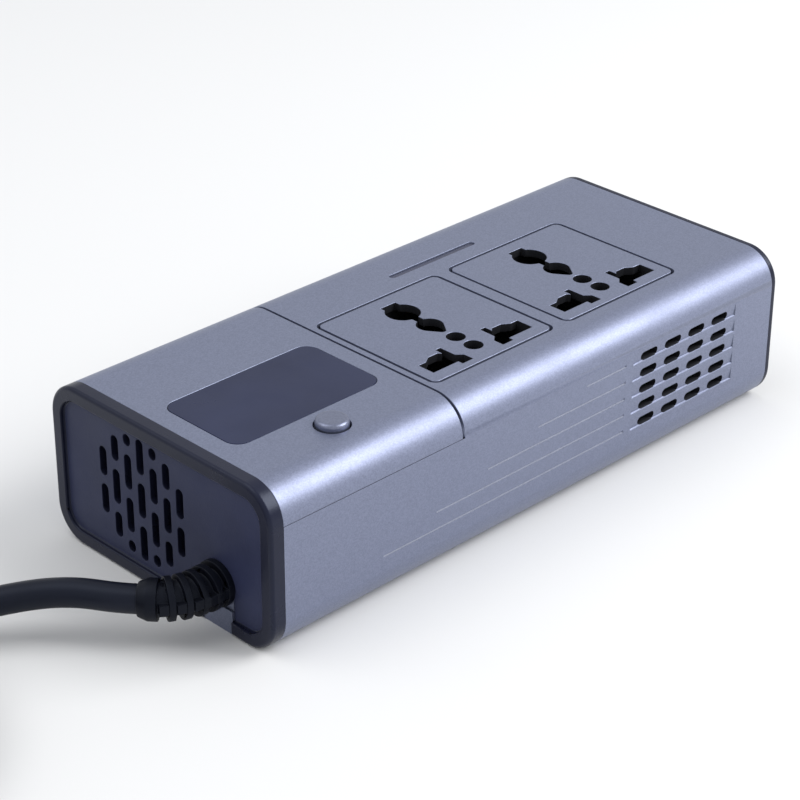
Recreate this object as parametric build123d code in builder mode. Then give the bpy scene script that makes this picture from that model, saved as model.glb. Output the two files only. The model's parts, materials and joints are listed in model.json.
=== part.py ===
"""Car power inverter: a silver box with two universal sockets, a display, a fan and a 12 V lead.

Millimetres. The origin is the bottom centre of the box, +X runs to the plain rear end, the end
with the fan and the lead faces -X, and +Z is up. The box rests on its bottom cover.
"""
import math
import os

from build123d import *

os.makedirs("parts", exist_ok=True)

# ---------------------------------------------------------------- enclosure
length = 154.4
width = 67.5
height = 37.0
edge_radius = 7.9
wall = 2.0
front_band = 3.4
rear_band = 1.8
lower_seam = 7.2
cover_drop = 7.9
cover_length = 52.4
groove_width = 0.6
fit_gap = 0.1
spigot_wall = 1.0
spigot_depth = 2.5
lip_root = 0.8

front_face = -length / 2
rear_face = length / 2
shell_front = front_face + front_band
cover_end = front_face + cover_length
shell_rear = rear_face - rear_band
top_inside = height - wall
cover_seam = height - cover_drop
side_inside = width / 2 - wall

# ---------------------------------------------------------------- end caps
rim_width = 3.2
recess_depth = 1.0
rear_recess = 0.9
rim_round = 0.9
recess_round = 0.5
lip_round = 0.35
panel_front = front_face + recess_depth

# ---------------------------------------------------------------- fan and its grille
fan_y = 6.3
fan_rise = 0.2
fan_headroom = 1.5
fan_depth = 8.0
fan_rim = 0.9
fan_corner = 2.0
fan_hole_inset = 3.0
fan_hole = 2.7
grille_margin = 0.2
grille_slot = 8.0
grille_slot_width = 2.15
grille_column_pitch = 4.0
grille_row_pitch = 10.1
fan_screw_shank = 2.5
fan_screw_head = 4.4
fan_screw_head_height = 1.4
fan_screw_bite = 1.0
hub_radius = 6.5
hub_length = 5.4
blade_gap = 1.0
blade_count = 7
blade_chord = 6.6
blade_thickness = 0.8
blade_pitch = 36
shaft_radius = 1.0
shaft_gap = 0.05
rotor_gap = 0.5
strut_width = 2.0
strut_thickness = 1.2
fan_z = height / 2 + fan_rise
fan_size = height - 2 * wall - 2 * fan_headroom
fan_bore = fan_size - 2 * fan_rim
fan_screw_pitch = fan_size - 2 * fan_hole_inset
grille_radius = fan_bore / 2 + grille_margin
grille_side_columns = int(grille_radius / grille_column_pitch)
blade_tip = fan_bore / 2 - blade_gap
fan_front = shell_front + fit_gap

# ---------------------------------------------------------------- vents in the long sides
row_drop = 10.0
row_bottom = 11.0
row_count = 5
line_end = rear_face - 52.0
line_first_start = line_end - 12.7
line_step = 15.0
line_height = 0.2
line_upper = 0.8
line_depth = 0.25
vent_start = rear_face - 49.7
vent_end = rear_face - 14.8
vent_depth = 0.3
vent_lip = 0.2
vent_drop = 0.4
vent_land = 1.0
vent_slot = 5.5
vent_slot_width = 2.0
vent_slot_first = vent_start + 5.4
vent_slot_pitch = 8.0
vent_slot_count = 4
vent_slot_rise = 0.9
row_top = height - row_drop
row_pitch = (row_top - row_bottom) / (row_count - 1)
vent_slope = row_pitch - vent_land

# ---------------------------------------------------------------- display and power button
window_length = 39.8
window_width = 23.1
window_radius = 3.4
window_thickness = 1.4
window_x = front_face + 28.0
window_y = -3.65
window_ledge = 1.9
screen_front_gap = 3.2
screen_rear_gap = 1.3
screen_gap = 0.5
board_thickness = 1.6
display_board_sink = 7.4
display_board_front = 0.5
display_board_rear = 2.5
display_board_margin = 4.6
display_board_button_margin = 4.8
display_post_radius = 2.0
display_post_inset = 2.4
display_screw_radius = 0.75
display_screw_head = 1.7
display_screw_head_height = 1.0
display_screw_length = 5.0
button_x = front_face + 27.8
button_y = 12.55 - width / 2
button_radius = 3.5
button_gap = 0.35
button_rise = 1.5
button_round = 0.9
button_flange_lap = 0.75
button_flange_radius = button_radius + button_gap + button_flange_lap
button_flange = 0.7
button_travel = 0.8
switch_size = 6.0
plunger_radius = 1.6
plunger_height = 0.25
plunger_gap = 0.05
screen_x0 = fan_front + fan_depth + screen_front_gap
screen_x1 = window_x + window_length / 2 - window_ledge - screen_rear_gap
display_board_x0 = screen_x0 + display_board_front
display_board_x1 = screen_x1 + display_board_rear
display_board_y0 = button_y - display_board_button_margin
display_board_y1 = window_y + window_width / 2 + display_board_margin
display_board_length = display_board_x1 - display_board_x0
display_board_width = display_board_y1 - display_board_y0
display_board_x = (display_board_x0 + display_board_x1) / 2
display_board_y = (display_board_y0 + display_board_y1) / 2
display_board_top = height - display_board_sink
button_bottom = top_inside - fit_gap - button_flange
plunger_top = button_bottom - button_travel - plunger_gap
plunger_bottom = plunger_top - plunger_height

# ---------------------------------------------------------------- indicator window
indicator_length = 26.5
indicator_width = 1.7
indicator_x = front_face + 95.65
indicator_y = width / 2 - 15.4
indicator_sink = 0.4
indicator_flange = 1.0
indicator_flange_margin = 1.0
indicator_leg = 2.0
indicator_board = 1.0
led_count = 3
led_pitch = 8.0
led_size = 1.6

# ---------------------------------------------------------------- universal sockets
socket_first = 72.4
socket_bridge = 3.3
socket_y = -5.45
socket_plate = 35.3
socket_gap = 0.7
socket_opening = socket_plate + 2 * socket_gap
socket_pitch = socket_opening + socket_bridge
socket_xs = (front_face + socket_first, front_face + socket_first + socket_pitch)
socket_corner = 1.5
socket_flange_lap = 0.35
socket_flange = socket_opening + 2 * socket_flange_lap
socket_flange_thickness = 1.2
socket_body_inset = 1.15
socket_body = socket_plate - 2 * socket_body_inset
socket_wall = 1.5
socket_depth = 21.0
socket_floor = height - socket_depth
earth_y = 9.7
earth_radius = 3.9
earth_key_width = 4.4
earth_key_end = 14.3
neck_width = 1.9
neck_bottom = 4.4
neck_top = 6.4
pear_y = 1.5
pear_radius = 3.0
pear_tip = -3.0
pear_tip_radius = 0.9
small_hole_ys = (-6.2, -11.4)
small_hole_radius = 2.1
ledge_drop = 1.6
ledge_top = top_inside - ledge_drop
ledge_thickness = 2.0
ledge_inner = 4.0
ledge_outer = 9.0
ledge_edge = -14.6
contact_thickness = 0.6
contact_drop = 7.0
contact_top = height - contact_drop
live_x = 10.5
live_y = -12.2
live_length = 8.0
live_gap = 3.2
earth_gap = 5.0
earth_length = 6.0
leaf_foot = 1.2

# ---------------------------------------------------------------- main board and what stands on it
board_bottom = 7.7
board_x0 = front_face + 22.2
board_x1 = rear_face - 14.2
board_side_gap = 3.75
board_width = width - 2 * board_side_gap
post_radius = 2.8
post_hole = 1.1
post_inset = 4.0
small_screw_gap = 0.05
board_screw_head = 2.3
board_screw_head_height = 1.5
board_screw_length = 7.0
core_x = front_face + 36.2
core_y = -2.0
core_length = 26.0
core_depth = 12.0
core_headroom = 1.7
core_leg = 6.5
core_yoke = 4.0
winding_gap = 0.3
winding_build = 5.2
winding_round = 2.5
sink_x = rear_face - 55.2
sink_y = width / 2 - 7.25
sink_length = 60.0
sink_headroom = 7.7
sink_base = 2.0
fin_count = 9
fin_depth = 2.2
fin_thickness = 1.4
mosfet_xs = [sink_x + offset for offset in (-22.0, -7.0, 8.0, 23.0)]
mosfet_width = 10.0
mosfet_thickness = 4.4
mosfet_lead = 3.0
lead_pin = 0.8
bulk_x = front_face + 61.2
bulk_y = sink_y - 3.5
bulk_radius = 6.5
bulk_headroom = 5.7
can_round = 0.8
input_xs = (core_x - 2.5, core_x + 7.5)
input_y = sink_y - 4.5
input_radius = 4.0
input_height = 14.0
blade_fuse_xs = (core_x - 3.0, core_x + 7.0)
blade_fuse_y = 8.0 - board_width / 2
fuse_holder_size = 7.0
fuse_holder_height = 6.0
blade_fuse_size = 4.0
blade_fuse_height = 11.0
wire_radius = 1.1
wire_spread = 1.7
wire_lap = 3.0
wire_end = board_x0 + wire_lap

# ---------------------------------------------------------------- case screws
case_screw_xs = (front_face + 17.2, rear_face - 8.2)
case_screw_y = width / 2 - 9.25
boss_length = 7.0
boss_lap = 3.3
boss_inner = case_screw_y - boss_lap
boss_headroom = 12.0
boss_top = height - boss_headroom
boss_roof = 3.8
screw_radius = 1.5
screw_gap = 0.15
screw_head_radius = screw_radius + 1.3
case_post_radius = screw_head_radius + 0.4
screw_head_height = 1.6
screw_sink = 0.3
screw_length = boss_top - boss_roof - lower_seam

# ---------------------------------------------------------------- lead: strain relief, cord, coil
lead_y = 16.85 - width / 2
lead_z = 10.3
cord_diameter = 6.0
neck_wall = 1.1
neck_gap = 0.15
inner_flange_wall = 1.5
inner_flange = 1.4
sleeve_base_wall = 2.0
sleeve_tip_wall = 1.3
sleeve_core_wall = 0.5
sleeve_straight = 3.4
sleeve_bend_radius = 14.2
sleeve_bend = 48
sleeve_ring = 1.45
sleeve_ring_pitch = 2.65
sleeve_ring_count = 5
sleeve_rib_width = 2.2
rib_sink = 0.3
sleeve_collar = 2.0
collar_taper = 2.0
collar_end_wall = 0.5
collar_bore_gap = 0.05
tongue_setback = 0.5
cord_radius = cord_diameter / 2
neck_radius = cord_radius + neck_wall
inner_flange_radius = neck_radius + inner_flange_wall
tongue_half = neck_radius + neck_gap + fit_gap / 2
sleeve_base_radius = cord_radius + sleeve_base_wall
sleeve_tip_radius = cord_radius + sleeve_tip_wall
sleeve_core_radius = cord_radius + sleeve_core_wall
collar_end_radius = cord_radius + collar_end_wall
coil_mean_radius = 35.0
coil_start_angle = 54
coil_end_angle = 120
coil_full_turns = 2
coil_turn_gap = 0.2
coil_pitch = cord_diameter + coil_turn_gap
coil_lift = 1.0
coil_slack = 0.2
tie_angle = 250
tie_width = 5.0
tie_thickness = 1.0
tie_slack = 0.4

# ---------------------------------------------------------------- 12 V plug
plug_radius = 10.5
plug_relief_length = 20.0
plug_relief_radius = cord_radius + 2.6
plug_relief_tip = cord_radius + 0.9
plug_relief_core = cord_radius + 0.5
plug_relief_collar = 3.0
plug_relief_ring_pitch = 3.6
plug_relief_rings = 4
plug_relief_groove = 1.4
plug_body_length = 46.0
plug_shoulder = 5.0
plug_shoulder_radius = plug_relief_radius + 1.0
plug_front_step = 0.9
plug_front_radius = plug_radius - plug_front_step
plug_front_length = 20.0
plug_nut_step = 1.0
plug_nut_radius = plug_front_radius - plug_nut_step
plug_nut_length = 8.0
plug_nut_taper = 2.4
plug_nut_nose = plug_nut_radius - plug_nut_taper
plug_nut_flutes = 16
plug_flute_radius = 0.7
plug_thread_length = 5.0
tip_radius = 3.2
tip_gap = 0.3
tip_out = 6.5
tip_travel = 4.0
tip_flange_lap = 1.4
tip_flange_radius = tip_radius + tip_flange_lap
tip_flange = 1.2
tip_round = 1.6
fuse_bore_radius = tip_flange_radius + tip_gap
plug_thread_wall = 1.7
plug_thread_radius = fuse_bore_radius + plug_thread_wall
fuse_radius = 3.2
fuse_length = 22.0
fuse_bore_depth = 34.0
contact_slot_length = 19.0
contact_slot_width = 6.4
contact_slot_depth = 3.2
contact_slot_start = 24.0
side_contact_gap = 0.3
side_contact_width = 5.6
side_contact_thickness = 0.8
side_contact_out = 1.2
side_contact_travel = 1.1


def rounded_section(x, inset, depth):
    """Prism of the box's cross-section, inset all round, from x towards +X."""
    with BuildPart() as prism:
        with BuildSketch(Plane.YZ.offset(x)):
            with Locations((0, height / 2)):
                RectangleRounded(width - 2 * inset, height - 2 * inset, edge_radius - inset)
        extrude(amount=depth)
    return prism.part


def block(x0, x1, y0, y1, z0, z1):
    """Plain box between two corners."""
    centre = Location(((x0 + x1) / 2, (y0 + y1) / 2, (z0 + z1) / 2))
    return centre * Box(x1 - x0, y1 - y0, z1 - z0, mode=Mode.PRIVATE)


def save(part, label):
    """Label a finished sub-part and write its STEP file."""
    part.label = label
    export_step(part, f"parts/{label}.step")


# Solids shared by the enclosure's pieces
shell_length = shell_rear - shell_front
shell_solid = rounded_section(shell_front, 0, shell_length)
shell_hollow = rounded_section(shell_front, wall, shell_length)
big = length + width
below_lower_seam = block(-big, big, -big, big, -big, lower_seam)
above_lower_seam = block(-big, big, -big, big, lower_seam, big)
cover_zone = block(-big, cover_end, -big, big, cover_seam, big)
below_cover_seam = block(-big, big, -big, big, -big, cover_seam)
groove_front = cover_end - groove_width / 2
groove_rear = cover_end + groove_width / 2
row_heights = [row_top - row_pitch * n for n in range(row_count)]


# ---------------------------------------------------------------- upper shell
def side_line(z, x0):
    """Fine line in the near side wall: a shallow slope that ends on a small lip."""
    with BuildPart() as groove:
        with BuildSketch(Plane.YZ.offset(x0)):
            with BuildLine():
                Polyline(
                    (-width / 2 - fit_gap, z + line_upper),
                    (-width / 2 + line_depth, z),
                    (-width / 2 - fit_gap, z - line_height),
                    close=True,
                )
            make_face()
        extrude(amount=line_end - x0)
    return groove.part


def side_louvre(z):
    """Sloping recess with a lip at its lower edge, and the row of slots that opens from it."""
    with BuildPart() as louvre:
        with BuildSketch(Plane.YZ.offset(vent_start)):
            with BuildLine():
                Polyline(
                    (-width / 2 - fit_gap, z + vent_slope),
                    (-width / 2, z + vent_slope),
                    (-width / 2 + vent_depth, z),
                    (-width / 2, z - vent_lip),
                    (-width / 2 - fit_gap, z - vent_lip),
                    close=True,
                )
            make_face()
        extrude(amount=vent_end - vent_start)
        with BuildSketch(Plane.XZ.offset(width / 2)):
            for n in range(vent_slot_count):
                with Locations((vent_slot_first + n * vent_slot_pitch, z + vent_slot_rise)):
                    SlotOverall(vent_slot, vent_slot_width)
        extrude(amount=-wall - fit_gap)
    return louvre.part


side_cuts = [side_line(z, line_first_start - line_step * n) for n, z in enumerate(row_heights)]
side_cuts += [side_louvre(z - vent_drop) for z in row_heights]

# lip of the shell that runs under the front cover's rear edge
lip_front = groove_front - spigot_depth
with BuildPart() as lip:
    add(rounded_section(lip_front, wall + fit_gap, groove_rear - lip_front))
    add(rounded_section(groove_rear, wall - fit_gap, lip_root))
    add(
        rounded_section(lip_front, wall + fit_gap + spigot_wall, groove_rear + lip_root - lip_front),
        mode=Mode.SUBTRACT,
    )
    add(below_cover_seam, mode=Mode.SUBTRACT)

with BuildPart() as upper_shell:
    add(shell_solid)
    add(shell_hollow, mode=Mode.SUBTRACT)
    add(below_lower_seam, mode=Mode.SUBTRACT)
    add(cover_zone, mode=Mode.SUBTRACT)
    add(block(cover_end, groove_rear, -big, big, cover_seam, big), mode=Mode.SUBTRACT)
    add(lip.part)
    # bosses for the case screws
    for x in case_screw_xs:
        for side in (-1, 1):
            y0, y1 = sorted((side * boss_inner, side * (side_inside + fit_gap)))
            add(block(x - boss_length / 2, x + boss_length / 2, y0, y1, lower_seam, boss_top))
    with Locations(*[(x, side * case_screw_y, lower_seam) for x in case_screw_xs for side in (-1, 1)]):
        Cylinder(
            screw_radius,
            screw_length,
            align=(Align.CENTER, Align.CENTER, Align.MIN),
            mode=Mode.SUBTRACT,
        )
    # openings in the top
    with BuildSketch(Plane.XY.offset(height)):
        with Locations(*[(x, socket_y) for x in socket_xs]):
            RectangleRounded(socket_opening, socket_opening, socket_corner + socket_gap)
        with Locations((indicator_x, indicator_y)):
            SlotOverall(indicator_length, indicator_width)
    extrude(amount=-wall - fit_gap, mode=Mode.SUBTRACT)
    for cut in side_cuts:
        add(cut, mode=Mode.SUBTRACT)
        add(mirror(cut, about=Plane.XZ), mode=Mode.SUBTRACT)
save(upper_shell.part, "upper_shell")


# ---------------------------------------------------------------- front cover
post_x = display_board_length / 2 - display_post_inset
post_y = display_board_width / 2 - display_post_inset
display_posts = [
    (display_board_x + i * post_x, display_board_y + j * post_y) for i in (-1, 1) for j in (-1, 1)
]

with BuildPart() as front_cover:
    add(shell_solid & block(-big, groove_front, -big, big, cover_seam, big))
    add(shell_hollow, mode=Mode.SUBTRACT)
    with BuildSketch(Plane.XY.offset(top_inside)):
        with Locations(*display_posts):
            Circle(display_post_radius)
    extrude(amount=display_board_top - top_inside)
    with Locations(*[Location((x, y, display_board_top), (180, 0, 0)) for x, y in display_posts]):
        Hole(display_screw_radius + small_screw_gap, display_screw_length - board_thickness)
    with BuildSketch(Plane.XY.offset(height)):
        with Locations((window_x, window_y)):
            RectangleRounded(window_length, window_width, window_radius)
    extrude(amount=-window_thickness, mode=Mode.SUBTRACT)
    with BuildSketch(Plane.XY.offset(height)):
        with Locations((window_x, window_y)):
            Rectangle(window_length - 2 * window_ledge, window_width - 2 * window_ledge)
        with Locations((button_x, button_y)):
            Circle(button_radius + button_gap)
    extrude(amount=-wall - fit_gap, mode=Mode.SUBTRACT)
save(front_cover.part, "front_cover")


# ---------------------------------------------------------------- bottom cover
board_post_xs = (board_x0 + post_inset, board_x1 - post_inset)
board_post_y = board_width / 2 - post_inset
board_posts = [(x, side * board_post_y) for x in board_post_xs for side in (-1, 1)]
case_posts = [(x, side * case_screw_y) for x in case_screw_xs for side in (-1, 1)]

with BuildPart() as bottom_cover:
    add(shell_solid)
    add(shell_hollow, mode=Mode.SUBTRACT)
    add(above_lower_seam, mode=Mode.SUBTRACT)
    # tongue that closes the lead's slot in the front cap
    add(block(panel_front, shell_front + wall, lead_y - tongue_half, lead_y + tongue_half,
              0, lead_z))
    add(block(front_face + tongue_setback, panel_front, lead_y - tongue_half, lead_y + tongue_half,
              0, lead_z - sleeve_base_radius))
    with BuildSketch(Plane.YZ.offset(front_face)):
        with Locations((lead_y, lead_z)):
            Circle(neck_radius + neck_gap)
    extrude(amount=front_band + wall, mode=Mode.SUBTRACT)
    add(block(shell_front, shell_front + wall, lead_y - tongue_half - fit_gap,
              lead_y + tongue_half + fit_gap, wall + fit_gap, big), mode=Mode.SUBTRACT)
    # posts for the main board and for the case screws
    with BuildSketch(Plane.XY.offset(wall / 2)):
        with Locations(*board_posts):
            Circle(post_radius)
    extrude(amount=board_bottom - wall / 2)
    with BuildSketch(Plane.XY.offset(wall / 2)):
        with Locations(*case_posts):
            Circle(case_post_radius)
    extrude(amount=lower_seam - wall / 2)
    with Locations(*[(x, y, board_bottom) for x, y in board_posts]):
        Hole(post_hole, board_screw_length - board_thickness)
    # countersunk screw holes, opened from below
    with Locations(*[Location((x, y, 0), (180, 0, 0)) for x, y in case_posts]):
        Hole(screw_radius + screw_gap, lower_seam)
    with Locations(*[Location((x, y, 0), (180, 0, 0)) for x, y in case_posts]):
        Hole(screw_head_radius + screw_gap, screw_sink)
    with Locations(*[(x, y, screw_sink) for x, y in case_posts]):
        Cone(
            screw_head_radius + screw_gap,
            screw_radius + screw_gap,
            screw_head_height,
            align=(Align.CENTER, Align.CENTER, Align.MIN),
            mode=Mode.SUBTRACT,
        )
save(bottom_cover.part, "bottom_cover")


# ---------------------------------------------------------------- end caps
def end_cap(face, band, recess, side):
    """Cap with a rounded rim, a recessed panel and a spigot; side is -1 at the front, 1 at the rear."""
    plane = Plane(origin=(face, 0, height / 2), x_dir=(0, 1, 0), z_dir=(side, 0, 0))
    outward = Axis((0, 0, 0), (side, 0, 0))
    with BuildPart() as cap:
        with BuildSketch(plane):
            RectangleRounded(width, height, edge_radius)
        extrude(amount=-band)
        fillet(cap.faces().sort_by(outward)[-1].edges(), rim_round)
        with BuildSketch(plane):
            RectangleRounded(width - 2 * rim_width, height - 2 * rim_width, edge_radius - rim_width)
        extrude(amount=-recess, mode=Mode.SUBTRACT)
        floor = cap.faces().filter_by(Axis.X).sort_by(outward)[-2]
        fillet(floor.edges(), recess_round)
        lip_edges = cap.faces().filter_by(Axis.X).sort_by(outward)[-1].inner_wires()[0].edges()
        fillet(lip_edges, lip_round)
        outer = wall + fit_gap
        inner = outer + spigot_wall
        with BuildSketch(plane.offset(-band)):
            RectangleRounded(width - 2 * outer, height - 2 * outer, edge_radius - outer)
            RectangleRounded(
                width - 2 * inner, height - 2 * inner, edge_radius - inner, mode=Mode.SUBTRACT
            )
        extrude(amount=-spigot_depth)
    return cap.part


def grille_slots():
    """Centre, length along Z and width of each grille slot: staggered columns clipped by a circle."""
    slots = []
    for column in range(-grille_side_columns, grille_side_columns + 1):
        across = column * grille_column_pitch
        reach = math.sqrt(grille_radius**2 - across**2)
        shift = grille_row_pitch / 2 if column % 2 else 0
        for row in range(-2, 3):
            middle = row * grille_row_pitch + shift
            low = max(middle - grille_slot / 2, -reach)
            high = min(middle + grille_slot / 2, reach)
            if high - low > grille_slot_width:
                slots.append((across, (low + high) / 2, high - low))
    return slots


front_cap_blank = end_cap(front_face, front_band, recess_depth, -1)
with BuildPart() as front_cap:
    add(front_cap_blank)
    with BuildSketch(Plane.YZ.offset(front_face)):
        for across, up, slot_length in grille_slots():
            with Locations((fan_y + across, fan_z + up)):
                SlotOverall(slot_length, grille_slot_width, rotation=90)
        # slot for the lead, open at the bottom
        with Locations((lead_y, lead_z)):
            Circle(neck_radius + neck_gap)
        with Locations((lead_y, lead_z / 2)):
            Rectangle(2 * (tongue_half + fit_gap), lead_z)
    extrude(amount=front_band + fit_gap, mode=Mode.SUBTRACT)
    # blind pilot holes for the fan's screws
    with BuildSketch(Plane.YZ.offset(shell_front)):
        with Locations((fan_y, fan_z)):
            with GridLocations(fan_screw_pitch, fan_screw_pitch, 2, 2):
                Circle(fan_screw_shank / 2)
    extrude(amount=-fan_screw_bite, mode=Mode.SUBTRACT)
    # room for the bottom cover's tongue behind the panel
    add(block(shell_front - fit_gap, shell_front + spigot_depth + fit_gap,
              lead_y - inner_flange_radius - fit_gap, lead_y + inner_flange_radius + fit_gap,
              -fit_gap, lead_z + inner_flange_radius), mode=Mode.SUBTRACT)
save(front_cap.part, "front_cap")

save(end_cap(rear_face, rear_band, rear_recess, 1), "rear_cap")


# ---------------------------------------------------------------- fan
fan_plane = Plane(origin=(fan_front, fan_y, fan_z), x_dir=(0, 1, 0), z_dir=(1, 0, 0))
hub_rear = fan_depth - strut_thickness - rotor_gap
hub_front = hub_rear - hub_length
shaft_length = rotor_gap + hub_length / 2

with BuildPart() as fan_frame:
    with BuildSketch(fan_plane):
        RectangleRounded(fan_size, fan_size, fan_corner)
        Circle(fan_bore / 2, mode=Mode.SUBTRACT)
    extrude(amount=fan_depth)
    with BuildSketch(fan_plane.offset(fan_depth)):
        Circle(hub_radius)
        Rectangle(fan_bore + fan_corner, strut_width, rotation=45)
        Rectangle(strut_width, fan_bore + fan_corner, rotation=45)
    extrude(amount=-strut_thickness)
    with BuildSketch(fan_plane.offset(fan_depth - strut_thickness)):
        Circle(shaft_radius)
    extrude(amount=-shaft_length)
    with BuildSketch(fan_plane):
        with GridLocations(fan_screw_pitch, fan_screw_pitch, 2, 2):
            Circle(fan_hole / 2)
    extrude(amount=fan_depth, mode=Mode.SUBTRACT)
save(fan_frame.part, "fan_frame")


def fan_blade(angle):
    """Pitched blade standing out from the hub."""
    radial = (0, math.cos(math.radians(angle)), math.sin(math.radians(angle)))
    middle = fan_plane.offset((hub_front + hub_rear) / 2).origin
    with BuildPart() as blade:
        with BuildSketch(Plane(origin=middle, x_dir=(1, 0, 0), z_dir=radial)):
            Rectangle(blade_chord, blade_thickness, rotation=blade_pitch)
        extrude(amount=blade_tip)
    return blade.part


fan_blades = [fan_blade(n * 360 / blade_count) for n in range(blade_count)]

with BuildPart() as fan_rotor:
    with BuildSketch(fan_plane.offset(hub_front)):
        Circle(hub_radius)
    extrude(amount=hub_length)
    fillet(fan_rotor.faces().sort_by(Axis.X)[0].edges(), rim_round)
    for blade in fan_blades:
        add(blade)
    with BuildSketch(fan_plane.offset(hub_rear)):
        Circle(shaft_radius + shaft_gap)
    extrude(amount=-hub_length / 2 - rotor_gap, mode=Mode.SUBTRACT)
save(fan_rotor.part, "fan_rotor")

with BuildPart() as fan_screws:
    with BuildSketch(fan_plane.offset(fan_depth)):
        with GridLocations(fan_screw_pitch, fan_screw_pitch, 2, 2):
            Circle(fan_screw_head / 2)
    extrude(amount=fan_screw_head_height)
    with BuildSketch(fan_plane.offset(fan_depth)):
        with GridLocations(fan_screw_pitch, fan_screw_pitch, 2, 2):
            Circle(fan_screw_shank / 2)
    extrude(amount=-fan_depth - fit_gap - fan_screw_bite)
save(fan_screws.part, "fan_screws")


# ---------------------------------------------------------------- display
opening_width = window_width - 2 * window_ledge
window_bottom = height - window_thickness

with BuildPart() as display_window:
    with BuildSketch(Plane.XY.offset(window_bottom)):
        with Locations((window_x, window_y)):
            RectangleRounded(
                window_length - 2 * fit_gap, window_width - 2 * fit_gap, window_radius - fit_gap
            )
    extrude(amount=window_thickness)
save(display_window.part, "display_window")

with BuildPart() as lcd_module:
    with BuildSketch(Plane.XY.offset(display_board_top)):
        with Locations(((screen_x0 + screen_x1) / 2, window_y)):
            Rectangle(screen_x1 - screen_x0, opening_width - 2 * screen_gap)
    extrude(amount=window_bottom - fit_gap - display_board_top)
save(lcd_module.part, "lcd_module")

with BuildPart() as display_board:
    with BuildSketch(Plane.XY.offset(display_board_top)):
        with Locations((display_board_x, display_board_y)):
            Rectangle(display_board_length, display_board_width)
        with Locations(*display_posts):
            Circle(display_screw_radius + small_screw_gap, mode=Mode.SUBTRACT)
    extrude(amount=-board_thickness)
save(display_board.part, "display_board")

with BuildPart() as display_screws:
    with BuildSketch(Plane.XY.offset(display_board_top - board_thickness)):
        with Locations(*display_posts):
            Circle(display_screw_head)
    extrude(amount=-display_screw_head_height)
    with BuildSketch(Plane.XY.offset(display_board_top - board_thickness)):
        with Locations(*display_posts):
            Circle(display_screw_radius)
    extrude(amount=display_screw_length - small_screw_gap)
save(display_screws.part, "display_screws")


# ---------------------------------------------------------------- power button and its switch
with BuildPart() as power_button:
    with BuildSketch(Plane.XY.offset(button_bottom)):
        with Locations((button_x, button_y)):
            Circle(button_flange_radius)
    extrude(amount=button_flange)
    with BuildSketch(Plane.XY.offset(button_bottom)):
        with Locations((button_x, button_y)):
            Circle(button_radius)
    extrude(amount=height + button_rise - button_bottom)
    fillet(power_button.faces().sort_by(Axis.Z)[-1].edges(), button_round)
save(power_button.part, "power_button")

with BuildPart() as tact_switch:
    with BuildSketch(Plane.XY.offset(display_board_top)):
        with Locations((button_x, button_y)):
            Rectangle(switch_size, switch_size)
    extrude(amount=plunger_bottom - display_board_top)
    with BuildSketch(Plane.XY.offset(plunger_bottom)):
        with Locations((button_x, button_y)):
            Circle(plunger_radius)
    extrude(amount=plunger_height)
save(tact_switch.part, "tact_switch")


# ---------------------------------------------------------------- indicator strip
leg_z = top_inside - indicator_flange
leg_x = indicator_length / 2 - indicator_leg / 2
indicator_board_top = leg_z - indicator_leg

with BuildPart() as light_pipe:
    with BuildSketch(Plane.XY.offset(top_inside)):
        with Locations((indicator_x, indicator_y)):
            SlotOverall(indicator_length - 2 * fit_gap, indicator_width - 2 * fit_gap)
    extrude(amount=wall - indicator_sink)
    with BuildSketch(Plane.XY.offset(top_inside)):
        with Locations((indicator_x, indicator_y)):
            Rectangle(
                indicator_length + indicator_flange_margin, indicator_width + indicator_flange_margin
            )
    extrude(amount=-indicator_flange)
    with BuildSketch(Plane.XY.offset(leg_z)):
        with Locations((indicator_x - leg_x, indicator_y), (indicator_x + leg_x, indicator_y)):
            Rectangle(indicator_leg, indicator_width + indicator_flange_margin)
    extrude(amount=-indicator_leg)
save(light_pipe.part, "light_pipe")

with BuildPart() as indicator_leds:
    with BuildSketch(Plane.XY.offset(indicator_board_top)):
        with Locations((indicator_x, indicator_y)):
            Rectangle(indicator_length, indicator_width + indicator_flange_margin)
    extrude(amount=-indicator_board)
    with BuildSketch(Plane.XY.offset(indicator_board_top)):
        with Locations((indicator_x, indicator_y)):
            with GridLocations(led_pitch, 1, led_count, 1):
                Rectangle(led_size, led_size)
    extrude(amount=indicator_leg / 2)
save(indicator_leds.part, "indicator_leds")


# ---------------------------------------------------------------- universal sockets
live_outline = [
    (-14.9, -14.4), (-14.9, -10.05), (-12.7, -10.05), (-10.9, -8.85), (-8.25, -8.85),
    (-7.5, -9.6), (-7.5, -7.5), (-6.0, -7.5), (-6.0, -11.8), (-4.5, -13.1),
    (-4.5, -15.7), (-7.65, -15.7), (-7.65, -14.4),
]


# the pear-shaped hole: a large and a small circle with the two lines that touch both
pear_tip_y = pear_tip + pear_tip_radius
pear_lean = (pear_radius - pear_tip_radius) / (pear_y - pear_tip_y)
pear_side = math.sqrt(1 - pear_lean**2)
pear_flank = [
    (pear_radius * pear_side, pear_y - pear_radius * pear_lean),
    (pear_tip_radius * pear_side, pear_tip_y - pear_tip_radius * pear_lean),
]


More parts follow.
